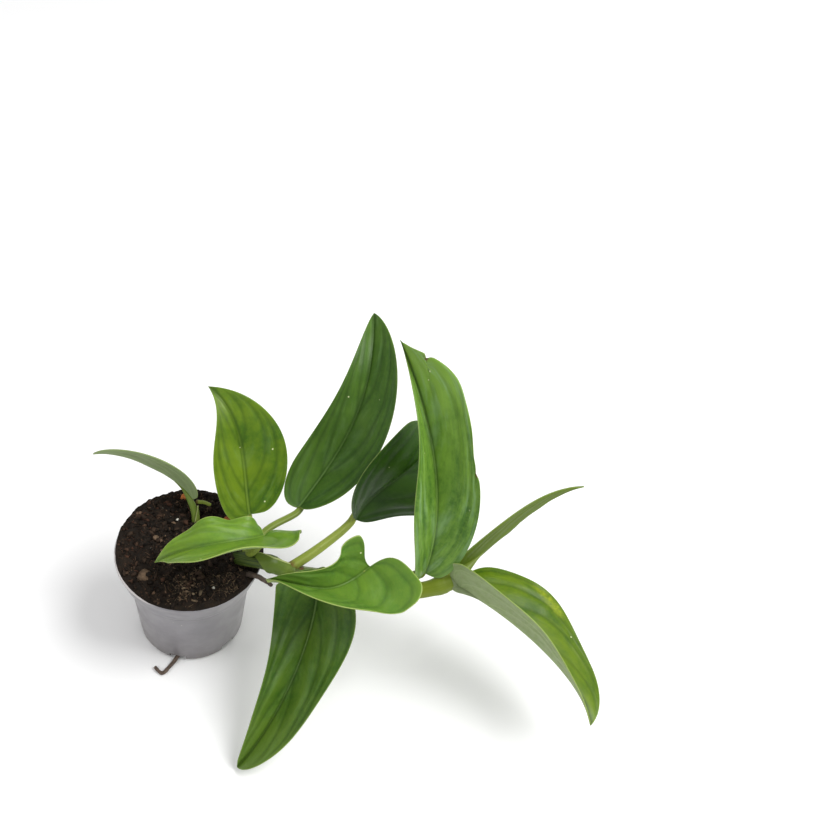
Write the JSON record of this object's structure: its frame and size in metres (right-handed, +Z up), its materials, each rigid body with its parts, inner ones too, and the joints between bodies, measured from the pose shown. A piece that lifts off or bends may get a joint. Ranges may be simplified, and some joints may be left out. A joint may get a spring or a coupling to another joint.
{
  "type": "young climbing aroid house plant in a nursery pot",
  "caption": "Young trailing aroid vine with entire heart-shaped leaves, rooted in a small round plastic nursery pot; its stem sags over the rim and a low leaf hangs to the table.",
  "frame": {"origin": "centre of the pot's underside, on the table", "axes": "+Z up along the pot's axis, +X the way the stem runs out over the rim, -Y towards the side that the hanging leaf is on"},
  "size_m": [0.221, 0.1507, 0.133],
  "materials": {
    "pot_plastic": "satin, slightly translucent",
    "potting_soil": "rough, loose peat with bark and perlite",
    "leaf_green": "satin, quilted between veins",
    "stem_green": "satin",
    "root_brown": "rough"
  },
  "bodies": {
    "root": {"pot": "pot_plastic", "soil": "potting_soil", "stem": "stem_green", "left_shoot": "stem_green", "rim_root": "root_brown", "drain_root": "root_brown", "leaf_1": "leaf_green", "leaf_2": "leaf_green", "leaf_3": "leaf_green", "leaf_4": "leaf_green", "leaf_5": "leaf_green", "leaf_6": "leaf_green", "leaf_7": "leaf_green", "leaf_8": "leaf_green", "leaf_9": "leaf_green", "leaf_10": "leaf_green"}
  },
  "joints": []
}
